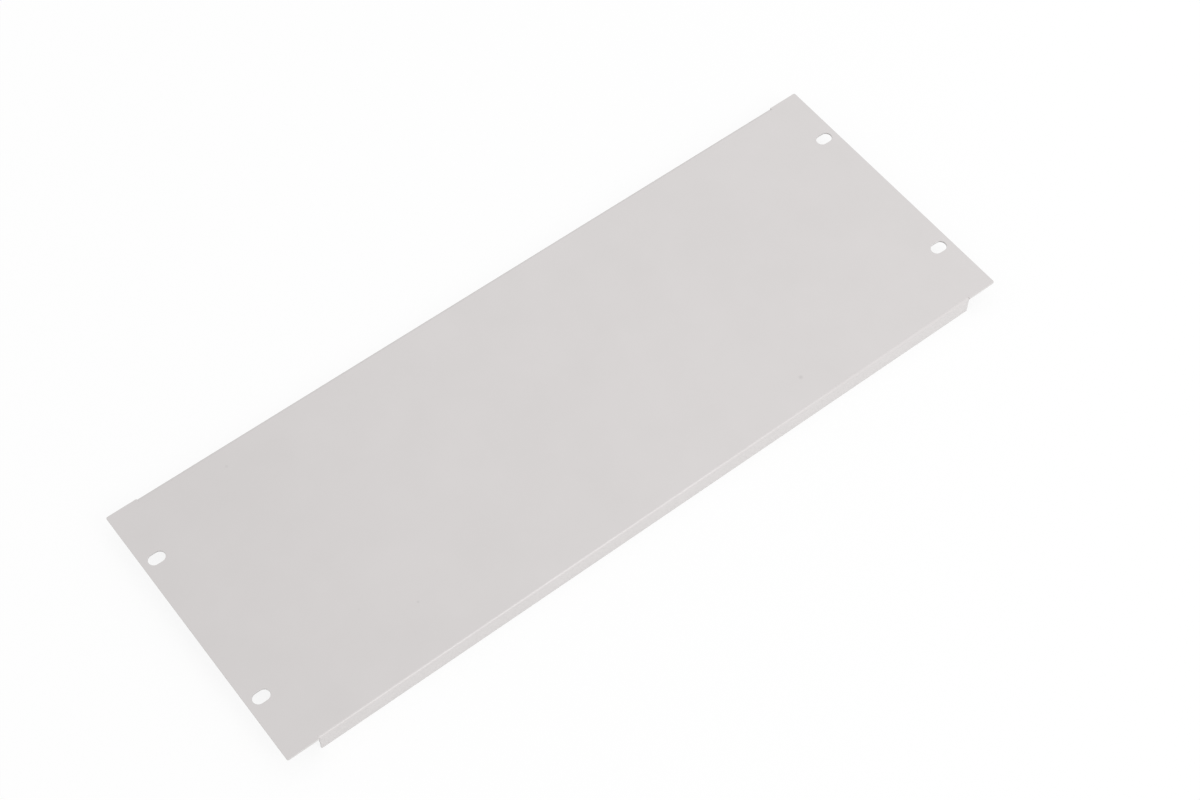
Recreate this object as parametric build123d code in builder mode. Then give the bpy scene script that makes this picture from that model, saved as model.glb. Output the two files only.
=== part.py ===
"""Blanking panel for a 19 inch rack, four units high.

One sheet of steel: a plain face with a screw slot in each corner, and a stiffening lip folded back
along the top and bottom edges. The lips stop short of the two ends, which stay flat as mounting ears.
The panel lies face up on its lips: X runs across the rack, Y up the rack, +Z out of the front face.
The origin is under the panel's centre, in the plane that the lips rest on.
"""
from build123d import *

import os

# Rack space that the panel covers
rack_unit = 44.45
units_high = 4
edge_gap = 0.4  # left free at the top and at the bottom, towards the next unit
panel_width = 482.6

# Sheet, and how it is folded
sheet_thickness = 1.2
bend_inside_radius = 0.5
lip_depth = 12.0  # front face to the lip's free edge
ear_width = 19.3  # panel's end to the lip's end, so that the lips pass between the uprights

# Slits that part each fold from the ear beside it
relief_width = 0.2
relief_past_bend = 0.2

# Screw slots, long across the rack
slot_length = 10.0
slot_width = 7.0
slot_from_panel_end = 8.75  # to the slot's middle
slot_from_unit_boundary = 38.1  # to the slot's middle

# Corners and cut edges
ear_corner_radius = 1.0
front_edge_radius = 0.2  # rolled over by the punch, and rounded further by the paint
rear_edge_chamfer = 0.15  # where the burr was taken off
smooth_angle = 5  # degrees: faces that meet at less than this run smoothly into each other

# Sizes that follow
panel_height = units_high * rack_unit - 2 * edge_gap
lip_length = panel_width - 2 * ear_width
bend_outside_radius = bend_inside_radius + sheet_thickness
bend_line = panel_height / 2 - bend_outside_radius
slot_span_across = panel_width - 2 * slot_from_panel_end
slot_span_up = units_high * rack_unit - 2 * slot_from_unit_boundary
front_plane = Plane.XY.offset(lip_depth)


def is_smooth(edge):
    """True where the two faces beside an edge run into each other, as a flat does into a bend."""
    faces_beside = blanking_panel.faces().filter_by(lambda face: edge in face.edges())
    first_normal, second_normal = [face.normal_at(edge @ 0.5) for face in faces_beside]
    return first_normal.get_angle(second_normal) < smooth_angle


def with_smooth_neighbours(faces):
    """The given faces, and those that they run smoothly into across a bend line."""
    bend_lines = faces.edges().filter_by(Axis.X).filter_by(is_smooth)
    return blanking_panel.faces().filter_by(
        lambda face: any(edge in bend_lines for edge in face.edges())
    )


def cut_edges(flat_face):
    """The edges where one side of the sheet ends: its flat face, the bends beside it and their lips."""
    side = with_smooth_neighbours(with_smooth_neighbours(flat_face))
    return side.edges().filter_by(
        lambda edge: len(side.filter_by(lambda face: edge in face.edges())) == 1
    )


with BuildPart() as blanking_panel:
    # Flat face and ears, in to the bend lines
    with BuildSketch(front_plane) as face_outline:
        Rectangle(panel_width, panel_height)
        fillet(face_outline.vertices(), radius=ear_corner_radius)
        with GridLocations(0, panel_height, 1, 2):
            Rectangle(lip_length + 2 * relief_width, 2 * bend_outside_radius, mode=Mode.SUBTRACT)
        with GridLocations(lip_length + relief_width, 2 * bend_line, 2, 2):
            SlotCenterToCenter(2 * relief_past_bend, relief_width, rotation=90, mode=Mode.SUBTRACT)
        with GridLocations(slot_span_across, slot_span_up, 2, 2):
            SlotOverall(slot_length, slot_width, mode=Mode.SUBTRACT)
    extrude(amount=-sheet_thickness)

    # Folds: the outer skin's line round the bend and down the lip, thickened inwards
    with BuildSketch(Plane.YZ) as fold_section:
        with BuildLine() as outer_skin:
            bend = JernArc((bend_line, lip_depth), (1, 0), bend_outside_radius, arc_size=-90)
            Line(bend @ 1, (panel_height / 2, 0))
            offset(amount=sheet_thickness, side=Side.RIGHT)
        make_face()
    top_fold = extrude(amount=lip_length / 2, both=True)
    mirror(top_fold, about=Plane.XZ)

    # Cut edges, behind and then in front
    rear_face = blanking_panel.faces().filter_by(Axis.Z).group_by(Axis.Z)[-2]
    chamfer(cut_edges(rear_face), length=rear_edge_chamfer)
    front_face = blanking_panel.faces().filter_by(Axis.Z).group_by(Axis.Z)[-1]
    fillet(cut_edges(front_face), radius=front_edge_radius)

blanking_panel.part.label = "blanking_panel"

os.makedirs("parts", exist_ok=True)
export_step(blanking_panel.part, "parts/blanking_panel.step")
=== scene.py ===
"""Looks of the rack blanking panel, in metres: powder coat, white studio and the photo's camera."""
from math import acos, cos, radians, sin

import bmesh
import bpy
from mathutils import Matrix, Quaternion, Vector


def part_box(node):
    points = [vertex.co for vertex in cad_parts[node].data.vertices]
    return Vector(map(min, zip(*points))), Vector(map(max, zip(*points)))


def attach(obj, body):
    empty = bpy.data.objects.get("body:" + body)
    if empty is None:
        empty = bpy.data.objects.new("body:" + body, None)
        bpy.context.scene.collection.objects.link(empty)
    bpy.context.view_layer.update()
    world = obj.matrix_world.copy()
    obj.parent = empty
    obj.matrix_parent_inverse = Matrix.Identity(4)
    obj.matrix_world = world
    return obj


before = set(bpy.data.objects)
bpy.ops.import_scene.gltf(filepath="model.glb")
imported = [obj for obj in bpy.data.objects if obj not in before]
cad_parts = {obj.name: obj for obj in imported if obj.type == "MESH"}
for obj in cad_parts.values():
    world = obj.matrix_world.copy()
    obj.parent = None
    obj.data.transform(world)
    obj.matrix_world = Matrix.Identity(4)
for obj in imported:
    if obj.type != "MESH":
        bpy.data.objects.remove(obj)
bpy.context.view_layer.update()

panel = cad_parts["blanking_panel"]
panel_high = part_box("blanking_panel")[1]
front_height = panel_high.z
fold_edge = panel_high.y

# Camera
camera_place = Vector((-0.3962, -0.5550, 1.0747))
camera_aim = Vector((0.0140, -0.0142, front_height))
camera_roll = radians(0.44)
camera_lens = 68.39
camera_sensor_width = 36.0

# Room and floor
white = (1.0, 1.0, 1.0, 1.0)
white_strength = 1.0  # at which white is seen as plain white
ambient_strength = 0.778
floor_size = 12.0
floor_drop = 0.0002  # below the lips, so that no two faces share a plane
floor_colour = (0.74, 0.74, 0.74, 1.0)  # for the light that bounces off it
floor_whiteness = 0.88  # share of the near floor that looks plain white, the rest takes the shadow
shadow_fade = (0.3, 0.9)  # distances from the middle over which the floor turns plain white

# Softboxes, which all face the panel: place, width, height, power, and whether gloss mirrors them
softboxes = {
    "front_softbox": ((0.42, -1.55, 1.31), 0.85, 1.10, 8.0, True),
    "front_fill": ((0.30, -1.90, 0.20), 0.80, 0.30, 4.3, False),
    "rear_softbox": ((0.60, 0.65, 1.25), 0.85, 0.80, 1.0, True),
    "side_softbox": ((0.75, -0.10, 0.40), 0.40, 0.30, 0.3, True),
}

# Powder coat
paint_dark = (0.664, 0.638, 0.632, 1.0)
paint_light = (0.680, 0.653, 0.648, 1.0)
paint_cloud_size = 0.03  # patches of slightly thicker and thinner coat
paint_cloud_detail = 3.0
paint_cloud_range = (0.3, 0.7)  # of the noise, from the dark tone to the light one
paint_roughness = (0.20, 0.27)
paint_ior = 1.6
peel_size = 0.0016  # from crest to crest of the orange peel
peel_detail = 2.0
peel_depth = 0.000006

# Specks of dirt on the front: place, radius and share of dirt in the middle
dirt_colour = (0.12, 0.11, 0.10, 1.0)
specks = [
    ((0.1116, -0.0706), 0.0020, 0.16),
    ((-0.1727, 0.0759), 0.0015, 0.085),
    ((-0.1378, -0.0554), 0.0012, 0.12),
    ((-0.1649, -0.0402), 0.0009, 0.065),
    ((0.1895, -0.0664), 0.0008, 0.05),
]

# Relief slits beside the folds, which the coat closes
slit_from_middle = 0.2221  # to the middle of the slit
slit_past_bend = 0.0002
sheet_thickness = 0.0012
bend_outside_radius = 0.0017
coat_in_slit_width = 0.0003  # into both walls, whose front edges are rounded
coat_in_slit_sink = 0.00008  # below the painted faces beside it
coat_arc_steps = 8


def add_object(name, data):
    """A new object in the scene."""
    new_object = bpy.data.objects.new(name, data)
    bpy.context.scene.collection.objects.link(new_object)
    return new_object


def add_node(tree, kind, **settings):
    """A new shader node, with its attributes set."""
    node = tree.nodes.new(kind)
    for name, value in settings.items():
        setattr(node, name, value)
    return node


def mix_shaders(tree, share, first, second):
    """Goes from the first shader to the second as the share goes from 0 to 1."""
    mix = add_node(tree, "ShaderNodeMixShader")
    tree.links.new(share, mix.inputs["Fac"])
    tree.links.new(first.outputs[0], mix.inputs[1])
    tree.links.new(second.outputs[0], mix.inputs[2])
    return mix


def seen_directly(tree):
    """1 for rays from the camera, a mirror or a glass, which see plain white, and 0 for others."""
    path = add_node(tree, "ShaderNodeLightPath")
    camera_or_mirror = add_node(tree, "ShaderNodeMath", operation="MAXIMUM")
    tree.links.new(path.outputs["Is Camera Ray"], camera_or_mirror.inputs[0])
    tree.links.new(path.outputs["Is Glossy Ray"], camera_or_mirror.inputs[1])
    any_of_three = add_node(tree, "ShaderNodeMath", operation="MAXIMUM")
    tree.links.new(camera_or_mirror.outputs[0], any_of_three.inputs[0])
    tree.links.new(path.outputs["Is Transmission Ray"], any_of_three.inputs[1])
    return any_of_three.outputs[0]


def make_world():
    """An even white room, plain white where it is seen."""
    world = bpy.data.worlds.new("white_room")
    world.use_nodes = True
    tree = world.node_tree
    tree.nodes.clear()
    light = add_node(tree, "ShaderNodeBackground")
    light.inputs["Color"].default_value = white
    light.inputs["Strength"].default_value = ambient_strength
    backdrop = add_node(tree, "ShaderNodeBackground")
    backdrop.inputs["Color"].default_value = white
    backdrop.inputs["Strength"].default_value = white_strength
    room = mix_shaders(tree, seen_directly(tree), light, backdrop)
    output = add_node(tree, "ShaderNodeOutputWorld")
    tree.links.new(room.outputs[0], output.inputs["Surface"])
    bpy.context.scene.world = world


def make_floor_material():
    """Pale matt floor, which is seen as white with a share of the panel's shadow on it."""
    material = bpy.data.materials.new("white_floor")
    material.use_nodes = True
    tree = material.node_tree
    tree.nodes.clear()
    matt = add_node(tree, "ShaderNodeBsdfDiffuse")
    matt.inputs["Color"].default_value = floor_colour
    shaded = add_node(tree, "ShaderNodeBsdfDiffuse")
    shaded.inputs["Color"].default_value = white
    glow = add_node(tree, "ShaderNodeEmission")
    glow.inputs["Color"].default_value = white
    glow.inputs["Strength"].default_value = white_strength

    from_middle = add_node(tree, "ShaderNodeVectorMath", operation="LENGTH")
    tree.links.new(add_node(tree, "ShaderNodeTexCoord").outputs["Object"], from_middle.inputs[0])
    whiteness = add_node(tree, "ShaderNodeMapRange", interpolation_type="SMOOTHSTEP")
    tree.links.new(from_middle.outputs["Value"], whiteness.inputs["Value"])
    whiteness.inputs["From Min"].default_value = shadow_fade[0]
    whiteness.inputs["From Max"].default_value = shadow_fade[1]
    whiteness.inputs["To Min"].default_value = floor_whiteness
    whiteness.inputs["To Max"].default_value = 1.0

    as_seen = mix_shaders(tree, whiteness.outputs["Result"], shaded, glow)
    surface = mix_shaders(tree, seen_directly(tree), matt, as_seen)
    output = add_node(tree, "ShaderNodeOutputMaterial")
    tree.links.new(surface.outputs[0], output.inputs["Surface"])
    return material


def make_floor():
    """A pale floor, just under the lips."""
    half = floor_size / 2
    corners = [(-half, -half), (half, -half), (half, half), (-half, half)]
    mesh = bpy.data.meshes.new("floor")
    mesh.from_pydata([(x, y, -floor_drop) for x, y in corners], [], [(0, 1, 2, 3)])
    mesh.materials.append(make_floor_material())
    floor = add_object("floor", mesh)


def make_softbox(name, place, width, height, power, mirrored):
    """A rectangular lamp that faces the panel, and that shows in gloss only if it is mirrored."""
    lamp = bpy.data.lights.new(name, "AREA")
    lamp.shape = "RECTANGLE"
    lamp.size = width
    lamp.size_y = height
    lamp.energy = power
    softbox = add_object(name, lamp)
    softbox.visible_glossy = mirrored
    softbox.location = place
    softbox.rotation_mode = "QUATERNION"
    softbox.rotation_quaternion = (-Vector(place)).to_track_quat("-Z", "Y")


def make_lights():
    """The even room, a little more light from the right, and a softbox that the near fold mirrors."""
    make_world()
    for name, settings in softboxes.items():
        make_softbox(name, *settings)


def make_camera():
    """The photograph's point of view."""
    data = bpy.data.cameras.new("camera")
    data.lens = camera_lens
    data.sensor_width = camera_sensor_width
    camera = add_object("camera", data)
    camera.location = camera_place
    camera.rotation_mode = "QUATERNION"
    level = (camera_aim - camera_place).to_track_quat("-Z", "Y")
    camera.rotation_quaternion = level @ Quaternion((0.0, 0.0, -1.0), camera_roll)
    bpy.context.scene.camera = camera


def add_noise(tree, place, size, detail):
    """Cloudy noise with lumps of the given size."""
    noise = add_node(tree, "ShaderNodeTexNoise")
    noise.inputs["Scale"].default_value = 1.0 / size
    noise.inputs["Detail"].default_value = detail
    tree.links.new(place, noise.inputs["Vector"])
    return noise.outputs["Fac"]


def add_speck(tree, place, colour, centre, radius, share):
    """Lays a soft round speck of dirt over a colour."""
    distance = add_node(tree, "ShaderNodeVectorMath", operation="DISTANCE")
    tree.links.new(place, distance.inputs[0])
    distance.inputs[1].default_value = (*centre, front_height)
    fade = add_node(tree, "ShaderNodeMapRange", interpolation_type="SMOOTHSTEP")
    tree.links.new(distance.outputs["Value"], fade.inputs["Value"])
    fade.inputs["From Max"].default_value = radius
    fade.inputs["To Min"].default_value = share
    fade.inputs["To Max"].default_value = 0.0
    mix = add_node(tree, "ShaderNodeMixRGB")
    tree.links.new(fade.outputs["Result"], mix.inputs["Fac"])
    tree.links.new(colour, mix.inputs["Color1"])
    mix.inputs["Color2"].default_value = dirt_colour
    return mix.outputs["Color"]


def make_powder_coat():
    """Light-grey semi-gloss powder coat: fine orange peel, a slightly cloudy tone and a few specks."""
    material = bpy.data.materials.new("light_grey_powder_coat")
    material.use_nodes = True
    tree = material.node_tree
    shader = tree.nodes["Principled BSDF"]
    shader.inputs["IOR"].default_value = paint_ior
    place = add_node(tree, "ShaderNodeTexCoord").outputs["Object"]

    clouds = add_noise(tree, place, paint_cloud_size, paint_cloud_detail)
    tone = add_node(tree, "ShaderNodeValToRGB")
    tree.links.new(clouds, tone.inputs["Fac"])
    ramp_ends = tone.color_ramp.elements
    for ramp_end, position, paint in zip(ramp_ends, paint_cloud_range, (paint_dark, paint_light)):
        ramp_end.position = position
        ramp_end.color = paint
    colour = tone.outputs["Color"]
    for centre, radius, share in specks:
        colour = add_speck(tree, place, colour, centre, radius, share)
    tree.links.new(colour, shader.inputs["Base Color"])

    peel = add_noise(tree, place, peel_size, peel_detail)
    roughness = add_node(tree, "ShaderNodeMapRange")
    tree.links.new(peel, roughness.inputs["Value"])
    roughness.inputs["To Min"].default_value = paint_roughness[0]
    roughness.inputs["To Max"].default_value = paint_roughness[1]
    tree.links.new(roughness.outputs["Result"], shader.inputs["Roughness"])

    bump = add_node(tree, "ShaderNodeBump")
    bump.inputs["Distance"].default_value = peel_depth
    tree.links.new(peel, bump.inputs["Height"])
    tree.links.new(bump.outputs["Normal"], shader.inputs["Normal"])
    return material


def coat_in_slit_outline():
    """Section of the coat in a slit, in Y and Z: flat behind, and round like the fold in front."""
    bend_line = fold_edge - bend_outside_radius
    bend_centre_height = front_height - bend_outside_radius
    rear_height = front_height - sheet_thickness
    arc_radius = bend_outside_radius - coat_in_slit_sink
    inner_end = bend_line - slit_past_bend
    outline = [(inner_end, rear_height), (inner_end, front_height - coat_in_slit_sink)]
    last_angle = acos((rear_height - bend_centre_height) / arc_radius)
    for step in range(coat_arc_steps + 1):
        angle = last_angle * step / coat_arc_steps
        y = bend_line + arc_radius * sin(angle)
        z = bend_centre_height + arc_radius * cos(angle)
        outline.append((y, z))
    return outline


def make_coat_in_slits(paint):
    """The coat that closes each relief slit, between the end of the fold and the ear beside it."""
    outline = coat_in_slit_outline()
    shape = bmesh.new()
    for end in (-1, 1):
        for fold in (-1, 1):
            left = end * slit_from_middle - coat_in_slit_width / 2
            right = left + coat_in_slit_width
            left_ring = [shape.verts.new((left, fold * y, z)) for y, z in outline]
            right_ring = [shape.verts.new((right, fold * y, z)) for y, z in outline]
            shape.faces.new(left_ring)
            shape.faces.new(right_ring)
            for k in range(len(outline)):
                shape.faces.new((left_ring[k - 1], left_ring[k], right_ring[k], right_ring[k - 1]))
    bmesh.ops.recalc_face_normals(shape, faces=shape.faces)
    mesh = bpy.data.meshes.new("coat_in_slits")
    shape.to_mesh(mesh)
    shape.free()
    mesh.materials.append(paint)
    coat = add_object("coat_in_slits", mesh)
    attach(coat, "root")


make_lights()
make_floor()
make_camera()

powder_coat = make_powder_coat()
for material_slot in panel.material_slots:
    material_slot.material = powder_coat
make_coat_in_slits(powder_coat)

bpy.context.scene.view_settings.view_transform = "Standard"
